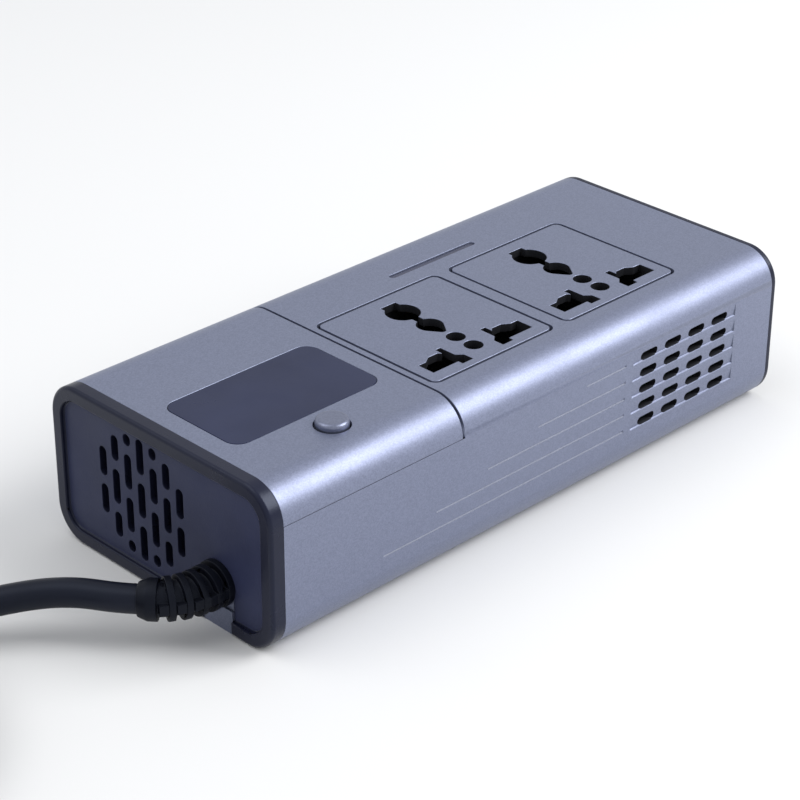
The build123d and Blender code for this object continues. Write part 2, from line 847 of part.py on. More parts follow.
def socket_holes(x):
    """Cutter for one plate: earth hole with its key, pear-shaped hole, two pin holes, two live slots."""
    with BuildPart() as cutter:
        with BuildSketch(Plane(origin=(x, socket_y, height + fit_gap))):
            with Locations((0, earth_y)):
                Circle(earth_radius)
            with Locations((0, (earth_y + earth_key_end) / 2)):
                Rectangle(earth_key_width, earth_key_end - earth_y)
            with Locations((0, (neck_bottom + neck_top) / 2)):
                Rectangle(neck_width, neck_top - neck_bottom)
            with Locations((0, pear_y)):
                Circle(pear_radius)
            with Locations((0, pear_tip_y)):
                Circle(pear_tip_radius)
            with BuildLine():
                Polyline(*pear_flank, *[(-px, py) for px, py in reversed(pear_flank)], close=True)
            make_face()
            with Locations(*[(0, y) for y in small_hole_ys]):
                Circle(small_hole_radius)
            with BuildLine():
                Polyline(*live_outline, close=True)
            make_face()
            with BuildLine():
                Polyline(*[(-px, py) for px, py in live_outline], close=True)
            make_face()
        extrude(amount=-wall - 2 * fit_gap)
    return cutter.part


def contact_pair(x, y, long, gap, along_x):
    """Two springy leaves on a foot, standing under a hole."""
    size = (long, contact_thickness) if along_x else (contact_thickness, long)
    step = (0, (gap + contact_thickness) / 2) if along_x else ((gap + contact_thickness) / 2, 0)
    foot = (long, gap + leaf_foot) if along_x else (gap + leaf_foot, long)
    with BuildPart() as contact:
        with BuildSketch(Plane.XY.offset(socket_floor + socket_wall)):
            with Locations((x, y)):
                Rectangle(*foot)
        extrude(amount=contact_thickness)
        with BuildSketch(Plane.XY.offset(socket_floor + socket_wall)):
            with Locations((x - step[0], y - step[1]), (x + step[0], y + step[1])):
                Rectangle(*size)
        extrude(amount=contact_top - socket_floor - socket_wall)
    return contact.part


def universal_socket(number, x):
    """Face plate, hollow housing and three contacts of one socket."""
    holes = socket_holes(x)
    with BuildPart() as plate:
        with BuildSketch(Plane.XY.offset(top_inside)):
            with Locations((x, socket_y)):
                RectangleRounded(socket_plate, socket_plate, socket_corner)
        extrude(amount=wall)
        add(holes, mode=Mode.SUBTRACT)
    save(plate.part, f"socket_plate_{number}")

    with BuildPart() as housing:
        with BuildSketch(Plane.XY.offset(socket_floor)):
            with Locations((x, socket_y)):
                RectangleRounded(socket_body, socket_body, socket_corner)
        extrude(amount=top_inside - socket_floor)
        with BuildSketch(Plane.XY.offset(top_inside)):
            with Locations((x, socket_y)):
                RectangleRounded(socket_flange, socket_flange, socket_corner)
        extrude(amount=-socket_flange_thickness)
        inner = socket_body - 2 * socket_wall
        with BuildSketch(Plane.XY.offset(socket_floor + socket_wall)):
            with Locations((x, socket_y)):
                Rectangle(inner, inner)
        extrude(amount=top_inside - socket_floor, mode=Mode.SUBTRACT)
        # ledges just under the plate, seen through the lower ends of the live slots
        for side in (-1, 1):
            x0, x1 = sorted((x + side * ledge_inner, x + side * ledge_outer))
            add(block(x0, x1, socket_y - inner / 2, socket_y + ledge_edge,
                      ledge_top - ledge_thickness, ledge_top))
    save(housing.part, f"socket_housing_{number}")

    for name, side in (("live", -1), ("neutral", 1)):
        contact = contact_pair(x + side * live_x, socket_y + live_y, live_length, live_gap, True)
        save(contact, f"socket_{name}_contact_{number}")
    contact = contact_pair(x, socket_y + earth_y, earth_length, earth_gap, False)
    save(contact, f"socket_earth_contact_{number}")


for number, socket_x in enumerate(socket_xs, start=1):
    universal_socket(number, socket_x)


# ---------------------------------------------------------------- main board and power parts
board_top = board_bottom + board_thickness
display_board_bottom = display_board_top - board_thickness
core_height = display_board_bottom - core_headroom - board_top
sink_height = top_inside - sink_headroom - board_top
mosfet_height = sink_height - mosfet_lead
bulk_height = top_inside - bulk_headroom - board_top

with BuildPart() as main_board:
    with BuildSketch(Plane.XY.offset(board_bottom)):
        with Locations(((board_x0 + board_x1) / 2, 0)):
            Rectangle(board_x1 - board_x0, board_width)
        with Locations(*board_posts):
            Circle(post_hole, mode=Mode.SUBTRACT)
    extrude(amount=board_thickness)
save(main_board.part, "main_board")

with BuildPart() as board_screws:
    with BuildSketch(Plane.XY.offset(board_top)):
        with Locations(*board_posts):
            Circle(board_screw_head)
    extrude(amount=board_screw_head_height)
    with BuildSketch(Plane.XY.offset(board_top)):
        with Locations(*board_posts):
            Circle(post_hole - small_screw_gap)
    extrude(amount=small_screw_gap - board_screw_length)
save(board_screws.part, "board_screws")

core_window = (core_length - core_leg) / 2 - core_yoke
window_offset = (core_leg + core_window) / 2
core_middle = board_top + core_height / 2
with BuildPart() as transformer_core:
    with BuildSketch(Plane.XZ.offset(-core_y - core_depth / 2)):
        with Locations((core_x, core_middle)):
            Rectangle(core_length, core_height)
        with Locations((core_x - window_offset, core_middle), (core_x + window_offset, core_middle)):
            Rectangle(core_window, core_height - 2 * core_yoke, mode=Mode.SUBTRACT)
    extrude(amount=core_depth)
save(transformer_core.part, "transformer_core")

coil_former_length = core_leg + 2 * core_window - 2 * winding_gap
with BuildPart() as transformer_winding:
    with BuildSketch(Plane.XY.offset(board_top + core_yoke + winding_gap)):
        with Locations((core_x, core_y)):
            RectangleRounded(coil_former_length, core_depth + 2 * winding_build, winding_round)
            Rectangle(
                core_leg + 2 * winding_gap, core_depth + 2 * winding_gap, mode=Mode.SUBTRACT
            )
    extrude(amount=core_height - 2 * core_yoke - 2 * winding_gap)
save(transformer_winding.part, "transformer_winding")

with BuildPart() as heat_sink:
    with BuildSketch(Plane.XY.offset(board_top)):
        with Locations((sink_x, sink_y + sink_base / 2)):
            Rectangle(sink_length, sink_base)
        with Locations((sink_x, sink_y + sink_base + fin_depth / 2)):
            with GridLocations((sink_length - fin_thickness) / (fin_count - 1), 1, fin_count, 1):
                Rectangle(fin_thickness, fin_depth)
    extrude(amount=sink_height)
save(heat_sink.part, "heat_sink")

with BuildPart() as mosfets:
    for mosfet_x in mosfet_xs:
        with BuildSketch(Plane.XY.offset(board_top + mosfet_lead)):
            with Locations((mosfet_x, sink_y - mosfet_thickness / 2)):
                Rectangle(mosfet_width, mosfet_thickness)
        extrude(amount=mosfet_height)
        with BuildSketch(Plane.XY.offset(board_top)):
            with Locations((mosfet_x, sink_y - mosfet_thickness / 2)):
                with GridLocations(mosfet_width / 4, 1, 3, 1):
                    Rectangle(lead_pin, lead_pin)
        extrude(amount=mosfet_lead)
save(mosfets.part, "mosfets")

with BuildPart() as bulk_capacitor:
    with BuildSketch(Plane.XY.offset(board_top)):
        with Locations((bulk_x, bulk_y)):
            Circle(bulk_radius)
    extrude(amount=bulk_height)
    fillet(bulk_capacitor.faces().sort_by(Axis.Z)[-1].edges(), can_round)
save(bulk_capacitor.part, "bulk_capacitor")

with BuildPart() as input_capacitors:
    with BuildSketch(Plane.XY.offset(board_top)):
        with Locations(*[(x, input_y) for x in input_xs]):
            Circle(input_radius)
    extrude(amount=input_height)
    fillet(input_capacitors.faces().group_by(Axis.Z)[-1].edges(), can_round)
save(input_capacitors.part, "input_capacitors")

with BuildPart() as blade_fuses:
    with BuildSketch(Plane.XY.offset(board_top)):
        with Locations(*[(x, blade_fuse_y) for x in blade_fuse_xs]):
            Rectangle(fuse_holder_size, fuse_holder_size)
    extrude(amount=fuse_holder_height)
    with BuildSketch(Plane.XY.offset(board_top + fuse_holder_height)):
        with Locations(*[(x, blade_fuse_y) for x in blade_fuse_xs]):
            Rectangle(fuse_holder_size, blade_fuse_size)
    extrude(amount=blade_fuse_height - fuse_holder_height)
save(blade_fuses.part, "blade_fuses")

wire_start = shell_front + inner_flange
wire_z = board_top + wire_radius
for wire, side in (("supply_wire_positive", 1), ("supply_wire_negative", -1)):
    with BuildPart() as supply_wire:
        with BuildSketch(Plane.YZ.offset(wire_start)):
            with Locations((lead_y + side * wire_spread, wire_z)):
                Circle(wire_radius)
        extrude(amount=wire_end - wire_start)
    save(supply_wire.part, wire)

with BuildPart() as case_screws:
    with Locations(*[(x, y, screw_sink) for x, y in case_posts]):
        Cone(
            screw_head_radius,
            screw_radius - fit_gap,
            screw_head_height,
            align=(Align.CENTER, Align.CENTER, Align.MIN),
        )
    with BuildSketch(Plane.XY.offset(screw_sink)):
        with Locations(*case_posts):
            Circle(screw_radius - fit_gap)
    extrude(amount=screw_length)
save(case_screws.part, "case_screws")


# ---------------------------------------------------------------- strain relief of the lead
bend_centre = (panel_front - sleeve_straight, lead_y + sleeve_bend_radius)
sleeve_length = sleeve_straight + math.radians(sleeve_bend) * sleeve_bend_radius


def sleeve_plane(along):
    """Plane across the sleeve's centre line at a distance from the panel, facing the tip."""
    turn = max(along - sleeve_straight, 0) / sleeve_bend_radius
    x = panel_front - min(along, sleeve_straight) - sleeve_bend_radius * math.sin(turn)
    y = bend_centre[1] - sleeve_bend_radius * math.cos(turn)
    return Plane(origin=(x, y, lead_z), x_dir=(0, 0, 1), z_dir=(-math.cos(turn), math.sin(turn), 0))


def sleeve_radius(along):
    """Outer radius of the tapered sleeve."""
    share = along / sleeve_length
    return sleeve_base_radius + (sleeve_tip_radius - sleeve_base_radius) * share


sleeve_tip = sleeve_plane(sleeve_length)

with BuildPart() as cord_strain_relief:
    with BuildSketch(Plane.YZ.offset(panel_front)):
        with Locations((lead_y, lead_z)):
            Circle(neck_radius)
    extrude(amount=shell_front - panel_front)
    with BuildSketch(Plane.YZ.offset(shell_front)):
        with Locations((lead_y, lead_z)):
            Circle(inner_flange_radius)
    extrude(amount=inner_flange)
    # core
    with BuildLine():
        straight = Line(sleeve_plane(0).origin, sleeve_plane(sleeve_straight).origin)
        TangentArc(straight @ 1, sleeve_tip.origin, tangent=straight % 1)
    with BuildSketch(sleeve_plane(0)):
        Circle(sleeve_core_radius)
    sweep()
    # rings, and the spine along each side that joins each ring to the next
    for n in range(sleeve_ring_count):
        start = n * sleeve_ring_pitch
        with BuildSketch(sleeve_plane(start)):
            Circle(sleeve_radius(start))
        extrude(amount=sleeve_ring)
        with BuildSketch(sleeve_plane(start)):
            Rectangle(sleeve_rib_width, 2 * sleeve_radius(start) - rib_sink)
        extrude(amount=sleeve_ring_pitch + sleeve_ring / 2)
    # collar at the tip
    with BuildSketch(sleeve_tip):
        Circle(sleeve_tip_radius)
    extrude(amount=-sleeve_collar)
    with Locations(sleeve_tip.location):
        Cone(
            sleeve_tip_radius,
            collar_end_radius,
            collar_taper,
            align=(Align.CENTER, Align.CENTER, Align.MIN),
        )
        Cylinder(
            cord_radius + collar_bore_gap,
            collar_taper,
            align=(Align.CENTER, Align.CENTER, Align.MIN),
            mode=Mode.SUBTRACT,
        )
save(cord_strain_relief.part, "cord_strain_relief")


# ---------------------------------------------------------------- cord
# Route points are offsets from the strain relief's tip along X and Y, with their height as it is.
tip_x, tip_y = sleeve_tip.origin.X, sleeve_tip.origin.Y
lead_offsets = [
    (0.0, 0.0, lead_z),
    (-3.78, 4.2, lead_z),
    (-8.6, 11.3, 10.7),
    (-14.7, 17.3, 10.2),
    (-24.6, 24.2, 8.5),
    (-34.5, 33.0, 5.9),
    (-45.2, 41.2, 4.1),
    (-54.2, 47.8, 4.0),
]
lead_route = [(tip_x + dx, tip_y + dy, z) for dx, dy, z in lead_offsets]


def corner_radii(points):
    """Largest arc at each corner that leaves a tenth of the shorter run straight."""
    radii = []
    for before, here, after in zip(points, points[1:], points[2:]):
        first = Vector(*here) - Vector(*before)
        second = Vector(*after) - Vector(*here)
        half_turn = math.radians(first.get_angle(second)) / 2
        radii.append(0.45 * min(first.length, second.length) / math.tan(half_turn))
    return radii


def cord_tube(points):
    """Round tube along the route, with tangent arcs at its corners."""
    radii = corner_radii(points)
    print("corner radii:", [round(radius, 1) for radius in radii])
    with BuildPart() as tube:
        with BuildLine():
            path = FilletPolyline(*points, radius=radii)
        with BuildSketch(Plane(origin=path @ 0, z_dir=path % 0)):
            Circle(cord_radius)
        sweep()
    section = math.pi * cord_radius**2
    length_run = path.length
    print("tube length:", round(length_run, 1), "volume share:",
          round(tube.part.volume / (section * length_run), 4))
    return tube.part


save(cord_tube(lead_route), "cord")

turn_count = coil_full_turns + (coil_end_angle - coil_start_angle) / 360
coil_start_z = coil_lift + cord_radius
coil_end_z = coil_start_z + coil_pitch * turn_count
coil_top = coil_end_z + cord_radius
start_direction = (math.cos(math.radians(coil_start_angle)), math.sin(math.radians(coil_start_angle)))
end_direction = (math.cos(math.radians(coil_end_angle)), math.sin(math.radians(coil_end_angle)))
coil_x = lead_route[-1][0] - coil_mean_radius * start_direction[0]
coil_y = lead_route[-1][1] - coil_mean_radius * start_direction[1]
coil_half = cord_radius + coil_slack
print("coil centre:", round(coil_x, 2), round(coil_y, 2), "turns:", round(turn_count, 3),
      "length:", round(2 * math.pi * coil_mean_radius * turn_count, 1))

with BuildPart() as cord_coil:
    with BuildSketch(Plane.XY.offset(coil_lift)):
        with Locations((coil_x, coil_y)):
            Circle(coil_mean_radius + coil_half)
            Circle(coil_mean_radius - coil_half, mode=Mode.SUBTRACT)
    extrude(amount=coil_top - coil_lift)
save(cord_coil.part, "cord_coil")

tie_direction = (math.cos(math.radians(tie_angle)), math.sin(math.radians(tie_angle)))
tie_plane = Plane(
    origin=(
        coil_x + coil_mean_radius * tie_direction[0],
        coil_y + coil_mean_radius * tie_direction[1],
        (coil_lift + coil_top) / 2,
    ),
    x_dir=(*tie_direction, 0),
    z_dir=(tie_direction[1], -tie_direction[0], 0),
)
with BuildPart() as cord_tie:
    with BuildSketch(tie_plane):
        RectangleRounded(
            2 * coil_half + 2 * tie_thickness + tie_slack,
            coil_top - coil_lift + 2 * tie_thickness,
            tie_thickness,
        )
        Rectangle(2 * coil_half + tie_slack, coil_top - coil_lift, mode=Mode.SUBTRACT)
    extrude(amount=tie_width / 2, both=True)
save(cord_tie.part, "cord_tie")

# The tail runs straight on from the coil's last turn and comes down to the plug.
tail_heading = (-end_direction[1], end_direction[0])
tail_x = coil_x + coil_mean_radius * end_direction[0]
tail_y = coil_y + coil_mean_radius * end_direction[1]
tail_offsets = [(0.0, coil_end_z), (15.0, coil_end_z - 0.5), (31.0, plug_radius), (46.0, plug_radius)]
tail_route = [
    (tail_x + along * tail_heading[0], tail_y + along * tail_heading[1], z) for along, z in tail_offsets
]
save(cord_tube(tail_route), "cord_tail")


# ---------------------------------------------------------------- 12 V plug
plug_origin = Vector(*tail_route[-1])
plug_dir = Vector(tail_heading[0], tail_heading[1], 0)
plug_side = plug_dir.cross(Vector(0, 0, 1))
plug_axis = Axis(plug_origin, plug_dir)
upright = Plane(origin=plug_origin, x_dir=plug_dir, z_dir=plug_side)
flat = Plane(origin=plug_origin, x_dir=plug_dir, z_dir=(0, 0, 1))
body_start = plug_relief_length
body_end = body_start + plug_body_length
nut_end = body_end + plug_nut_length
thread_end = body_end + plug_thread_length


def turned(profile):
    """Solid turned about the plug's axis from (distance along it, radius) points."""
    with BuildPart() as solid:
        with BuildSketch(upright):
            with BuildLine():
                Polyline(*profile, close=True)
            make_face()
        revolve(axis=plug_axis)
    return solid.part


def relief_profile():
    """Outline of the plug's ringed tapered tail, from the cord end to the body."""
    points = [(0, 0), (0, plug_relief_tip)]
    for n in range(plug_relief_rings):
        start = plug_relief_collar + n * plug_relief_ring_pitch
        radius = plug_relief_tip + (plug_relief_radius - plug_relief_tip) * start / plug_relief_length
        points += [(start, radius), (start, plug_relief_core)]
        points += [(start + plug_relief_groove, plug_relief_core), (start + plug_relief_groove, radius)]
    return points + [(plug_relief_length, plug_relief_radius), (plug_relief_length, 0)]


save(turned(relief_profile()), "plug_strain_relief")

plug_blank = turned([
    (body_start, 0),
    (body_start, plug_shoulder_radius),
    (body_start + plug_shoulder, plug_radius),
    (body_end - plug_front_length, plug_radius),
    (body_end - plug_front_length, plug_front_radius),
    (body_end, plug_front_radius),
    (body_end, plug_thread_radius),
    (thread_end, plug_thread_radius),
    (thread_end, fuse_bore_radius),
    (thread_end - fuse_bore_depth, fuse_bore_radius),
    (thread_end - fuse_bore_depth, 0),
])
slot_start = body_start + contact_slot_start
slot_floor = plug_front_radius - contact_slot_depth

with BuildPart() as plug_body:
    add(plug_blank)
    for side in (-1, 1):
        with BuildSketch(flat.offset(-contact_slot_width / 2)):
            with Locations((slot_start + contact_slot_length / 2, side * (slot_floor + plug_radius / 2))):
                Rectangle(contact_slot_length, plug_radius)
        extrude(amount=contact_slot_width, mode=Mode.SUBTRACT)
save(plug_body.part, "plug_body")

nut_blank = turned([
    (body_end + fit_gap, plug_thread_radius + fit_gap),
    (body_end + fit_gap, plug_nut_radius),
    (body_end + plug_nut_length / 2, plug_nut_radius),
    (nut_end, plug_nut_nose),
    (nut_end, tip_radius + tip_gap),
    (thread_end + fit_gap, tip_radius + tip_gap),
    (thread_end + fit_gap, plug_thread_radius + fit_gap),
])
nut_plane = Plane(origin=plug_origin + plug_dir * body_end, x_dir=(0, 0, 1), z_dir=plug_dir)

with BuildPart() as plug_nose_nut:
    add(nut_blank)
    with BuildSketch(nut_plane):
        with PolarLocations(plug_nut_radius, plug_nut_flutes):
            Circle(plug_flute_radius)
    extrude(amount=plug_nut_length / 2, mode=Mode.SUBTRACT)
save(plug_nose_nut.part, "plug_nose_nut")

tip_end = nut_end + tip_out
save(
    turned([
        (thread_end - tip_flange, 0),
        (thread_end - tip_flange, tip_flange_radius),
        (thread_end, tip_flange_radius),
        (thread_end, tip_radius),
        (tip_end - tip_round, tip_radius),
        (tip_end, tip_radius - tip_round),
        (tip_end, 0),
    ]),
    "plug_tip_pin",
)
fuse_end = thread_end - tip_flange
save(
    turned([
        (fuse_end - fuse_length, 0),
        (fuse_end - fuse_length, fuse_radius),
        (fuse_end, fuse_radius),
        (fuse_end, 0),
    ]),
    "plug_fuse",
)

contact_low = slot_floor + side_contact_travel + side_contact_gap
contact_high = plug_front_radius + side_contact_out
contact_x0 = slot_start + side_contact_gap
contact_x1 = slot_start + contact_slot_length - side_contact_gap
contact_xm = (contact_x0 + contact_x1) / 2
for contact_name, side in (("plug_contact_left", 1), ("plug_contact_right", -1)):
    with BuildPart() as side_contact:
        with BuildSketch(flat.offset(-side_contact_width / 2)):
            with BuildLine():
                ThreePointArc(
                    (contact_x0, side * contact_low),
                    (contact_xm, side * (contact_high - side_contact_thickness)),
                    (contact_x1, side * contact_low),
                )
                Line(
                    (contact_x1, side * contact_low),
                    (contact_x1, side * (contact_low + side_contact_thickness)),
                )
                ThreePointArc(
                    (contact_x1, side * (contact_low + side_contact_thickness)),
                    (contact_xm, side * contact_high),
                    (contact_x0, side * (contact_low + side_contact_thickness)),
                )
                Line(
                    (contact_x0, side * (contact_low + side_contact_thickness)),
                    (contact_x0, side * contact_low),
                )
            make_face()
        extrude(amount=side_contact_width)
    save(side_contact.part, contact_name)
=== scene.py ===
"""Power inverter: finishes, rounded edges, cord, floor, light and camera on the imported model.

Metres. +X runs to the plain rear end, the fan and the lead are at -X, +Z is up.
"""

import json
import math

import bmesh
import bpy
from mathutils import Matrix, Vector


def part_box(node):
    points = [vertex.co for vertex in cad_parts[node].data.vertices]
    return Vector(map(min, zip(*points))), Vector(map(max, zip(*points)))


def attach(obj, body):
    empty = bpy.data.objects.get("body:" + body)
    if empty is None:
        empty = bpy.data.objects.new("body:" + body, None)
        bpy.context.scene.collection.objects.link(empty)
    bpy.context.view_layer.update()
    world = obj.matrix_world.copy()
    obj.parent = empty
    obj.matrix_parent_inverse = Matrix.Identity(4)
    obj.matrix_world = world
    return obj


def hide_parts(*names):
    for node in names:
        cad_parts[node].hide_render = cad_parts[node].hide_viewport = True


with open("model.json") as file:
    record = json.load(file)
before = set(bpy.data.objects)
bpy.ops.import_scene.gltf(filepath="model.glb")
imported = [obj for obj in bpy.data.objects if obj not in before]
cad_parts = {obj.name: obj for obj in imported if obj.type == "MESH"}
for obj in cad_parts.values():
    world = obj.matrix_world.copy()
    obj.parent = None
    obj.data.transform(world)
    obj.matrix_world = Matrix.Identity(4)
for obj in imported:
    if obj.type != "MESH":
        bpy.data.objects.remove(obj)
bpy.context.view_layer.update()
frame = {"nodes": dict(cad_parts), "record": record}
nodes = frame["nodes"]
mm = 0.001


# ---------------------------------------------------------------- finishes
def finish(name, colour, roughness, **sockets):
    """New finish with its even colour, roughness and other values set on the shader."""
    made = bpy.data.materials.new(name)
    made.use_nodes = True
    shader = made.node_tree.nodes["Principled BSDF"]
    shader.inputs["Base Color"].default_value = (*colour, 1)
    shader.inputs["Roughness"].default_value = roughness
    for socket, value in sockets.items():
        shader.inputs[socket.replace("_", " ")].default_value = value
    return made


def add_node(made, kind, **inputs):
    """Node of that kind with its inputs set by name."""
    new = made.node_tree.nodes.new(kind)
    for name, value in inputs.items():
        new.inputs[name].default_value = value
    return new


def wire(made, source, target):
    made.node_tree.links.new(source, target)


def on_piece(made, stretch=(1, 1, 1)):
    """Object coordinates, stretched where a pattern runs along one direction."""
    coordinates = made.node_tree.nodes.new("ShaderNodeTexCoord")
    if stretch == (1, 1, 1):
        return coordinates.outputs["Object"]
    mapping = add_node(made, "ShaderNodeMapping", Scale=stretch)
    wire(made, coordinates.outputs["Object"], mapping.inputs["Vector"])
    return mapping.outputs["Vector"]


def noise(made, scale, detail=3.0, stretch=(1, 1, 1)):
    texture = add_node(made, "ShaderNodeTexNoise", Scale=scale, Detail=detail)
    wire(made, on_piece(made, stretch), texture.inputs["Vector"])
    return texture.outputs["Fac"]


def tones(made, pattern, dark, light, low=0.3, high=0.7):
    """Colour that wanders between two close tones with a pattern."""
    ramp = made.node_tree.nodes.new("ShaderNodeValToRGB")
    ramp.color_ramp.elements[0].position = low
    ramp.color_ramp.elements[0].color = (*dark, 1)
    ramp.color_ramp.elements[1].position = high
    ramp.color_ramp.elements[1].color = (*light, 1)
    wire(made, pattern, ramp.inputs["Fac"])
    shader = made.node_tree.nodes["Principled BSDF"]
    wire(made, ramp.outputs["Color"], shader.inputs["Base Color"])
    return ramp


def uneven_gloss(made, pattern, low, high):
    """Roughness that wanders between two values with a pattern."""
    span = made.node_tree.nodes.new("ShaderNodeMapRange")
    span.inputs["From Min"].default_value = 0.3
    span.inputs["From Max"].default_value = 0.7
    span.inputs["To Min"].default_value = low
    span.inputs["To Max"].default_value = high
    wire(made, pattern, span.inputs["Value"])
    shader = made.node_tree.nodes["Principled BSDF"]
    wire(made, span.outputs["Result"], shader.inputs["Roughness"])


def relief(made, pattern, depth, strength=1.0):
    """Small relief of the surface from a pattern."""
    bump = add_node(made, "ShaderNodeBump", Strength=strength, Distance=depth)
    wire(made, pattern, bump.inputs["Height"])
    shader = made.node_tree.nodes["Principled BSDF"]
    wire(made, bump.outputs["Normal"], shader.inputs["Normal"])
    return bump


def flake_paint(name, dark, light, roughness):
    """Metallic paint: small flakes of uneven brightness under a thin satin coat."""
    made = finish(name, light, roughness, Metallic=0.8, Coat_Weight=0.34, Coat_Roughness=0.45)
    flakes = add_node(made, "ShaderNodeTexVoronoi", Scale=4200.0)
    wire(made, on_piece(made), flakes.inputs["Vector"])
    shade = made.node_tree.nodes.new("ShaderNodeSeparateColor")
    wire(made, flakes.outputs["Color"], shade.inputs["Color"])
    tones(made, shade.outputs["Red"], dark, light, 0.0, 1.0)
    uneven_gloss(made, noise(made, 45.0, 4.0), roughness - 0.03, roughness + 0.04)
    relief(made, noise(made, 3200.0, 2.0), 0.00002, 0.35)
    return made


def moulded(name, colour, roughness, grain=2400.0, depth=0.00003, specular=0.4):
    """Moulded plastic with a fine eroded grain and slightly uneven colour."""
    made = finish(
        name, colour, roughness, Specular_IOR_Level=specular, Specular_Tint=(0.72, 0.8, 1.0, 1.0)
    )
    darker = tuple(0.86 * c for c in colour)
    lighter = tuple(1.14 * c for c in colour)
    tones(made, noise(made, 60.0, 5.0), darker, lighter)
    uneven_gloss(made, noise(made, 130.0, 4.0), roughness - 0.05, roughness + 0.06)
    relief(made, noise(made, grain, 3.0), depth, 0.6)
    return made


def drawn_metal(name, colour, roughness, stretch):
    """Metal with fine drawing marks along one direction."""
    made = finish(name, colour, roughness, Metallic=1.0)
    marks = noise(made, 900.0, 4.0, stretch)
    tones(made, marks, tuple(0.82 * c for c in colour), colour)
    uneven_gloss(made, marks, roughness - 0.06, roughness + 0.08)
    relief(made, marks, 0.00001, 0.5)
    return made


def wrapped_tape(name, colour):
    """Insulating tape in overlapping turns."""
    made = finish(name, colour, 0.4)
    turns = made.node_tree.nodes.new("ShaderNodeTexWave")
    turns.bands_direction = "Z"
    turns.inputs["Scale"].default_value = 160.0
    turns.inputs["Distortion"].default_value = 0.4
    wire(made, on_piece(made), turns.inputs["Vector"])
    tones(made, turns.outputs["Fac"], tuple(0.8 * c for c in colour), colour, 0.0, 0.4)
    relief(made, turns.outputs["Fac"], 0.0001, 0.5)
    return made


def strap_weave(name, colour):
    """Woven strap: crossing threads in the two directions of its face."""
    made = finish(name, colour, 0.75, Sheen_Weight=0.25, Sheen_Roughness=0.5)
    threads = made.node_tree.nodes.new("ShaderNodeTexChecker")
    threads.inputs["Scale"].default_value = 2600.0
    wire(made, on_piece(made), threads.inputs["Vector"])
    tones(made, threads.outputs["Fac"], tuple(0.6 * c for c in colour), colour, 0.0, 1.0)
    relief(made, threads.outputs["Fac"], 0.00008, 0.7)
    return made


def circuit_board(name):
    """Green solder mask over copper tracks."""
    made = finish(name, (0.02, 0.13, 0.06), 0.32)
    tracks = made.node_tree.nodes.new("ShaderNodeTexBrick")
    tracks.inputs["Scale"].default_value = 130.0
    tracks.inputs["Mortar Size"].default_value = 0.06
    tracks.inputs["Color1"].default_value = (0.012, 0.11, 0.05, 1)
    tracks.inputs["Color2"].default_value = (0.016, 0.13, 0.06, 1)
    tracks.inputs["Mortar"].default_value = (0.05, 0.22, 0.08, 1)
    wire(made, on_piece(made), tracks.inputs["Vector"])
    shader = made.node_tree.nodes["Principled BSDF"]
    wire(made, tracks.outputs["Color"], shader.inputs["Base Color"])
    relief(made, tracks.outputs["Fac"], 0.00004, 0.6)
    return made


finishes = {
    "silver_shell": flake_paint(
        "silver flake paint", (0.176, 0.197, 0.282), (0.226, 0.250, 0.356), 0.45
    ),
    "button_silver": flake_paint(
        "silver button paint", (0.16, 0.175, 0.25), (0.20, 0.22, 0.31), 0.36
    ),
    "cap_plastic": moulded("charcoal end cap", (0.0085, 0.0095, 0.022), 0.3, specular=0.28),
    "display_lens": moulded("smoked display lens", (0.019, 0.023, 0.054), 0.32, 1800.0, 0.00001, 0.2),
    "indicator_lens": moulded("smoked indicator strip", (0.05, 0.052, 0.08), 0.35, 900.0, 0.00001),
    "lcd_glass": moulded("dark display glass", (0.02, 0.024, 0.024), 0.12, 400.0, 0.000005, 0.5),
    "housing_plastic": moulded("black socket housing", (0.012, 0.012, 0.014), 0.5),
    "contact_brass": drawn_metal("sprung brass", (0.72, 0.52, 0.2), 0.28, (1, 1, 0.05)),
    "fan_plastic": moulded("black fan plastic", (0.009, 0.009, 0.011), 0.42),
    "screw_steel": drawn_metal("plated screw steel", (0.5, 0.5, 0.5), 0.3, (1, 1, 0.1)),
    "board_green": circuit_board("green circuit board"),
    "ferrite": moulded("dark ferrite", (0.028, 0.028, 0.03), 0.6, 1400.0, 0.00008, 0.3),
    "winding_tape": wrapped_tape("yellow winding tape", (0.7, 0.5, 0.06)),
    "sink_aluminium": drawn_metal("extruded aluminium", (0.68, 0.68, 0.7), 0.32, (1, 1, 0.05)),
    "package_plastic": moulded("black transistor package", (0.014, 0.014, 0.015), 0.45),
    "can_sleeve": moulded("blue-black capacitor sleeve", (0.014, 0.016, 0.05), 0.25, 700.0, 0.00002),
    "fuse_orange": moulded("amber fuse plastic", (0.7, 0.2, 0.02), 0.22, 700.0, 0.00001),
    "wire_red": moulded("red wire insulation", (0.45, 0.02, 0.02), 0.4),
    "wire_black": moulded("black wire insulation", (0.012, 0.012, 0.013), 0.4),
    "cord_rubber": moulded("black cord rubber", (0.0055, 0.0065, 0.0125), 0.4, 1900.0, 0.00002, 0.24),
    "tie_black": strap_weave("black woven strap", (0.016, 0.016, 0.018)),
    "plug_plastic": moulded("black plug plastic", (0.009, 0.010, 0.015), 0.34, specular=0.3),
    "plug_nut_plastic": moulded("black nose nut plastic", (0.011, 0.012, 0.017), 0.42, specular=0.3),
    "plug_metal": drawn_metal("nickel plate", (0.66, 0.64, 0.6), 0.2, (1, 1, 1)),
    "fuse_glass": moulded("fuse glass", (0.5, 0.55, 0.55), 0.08, 300.0, 0.000005, 0.5),
}
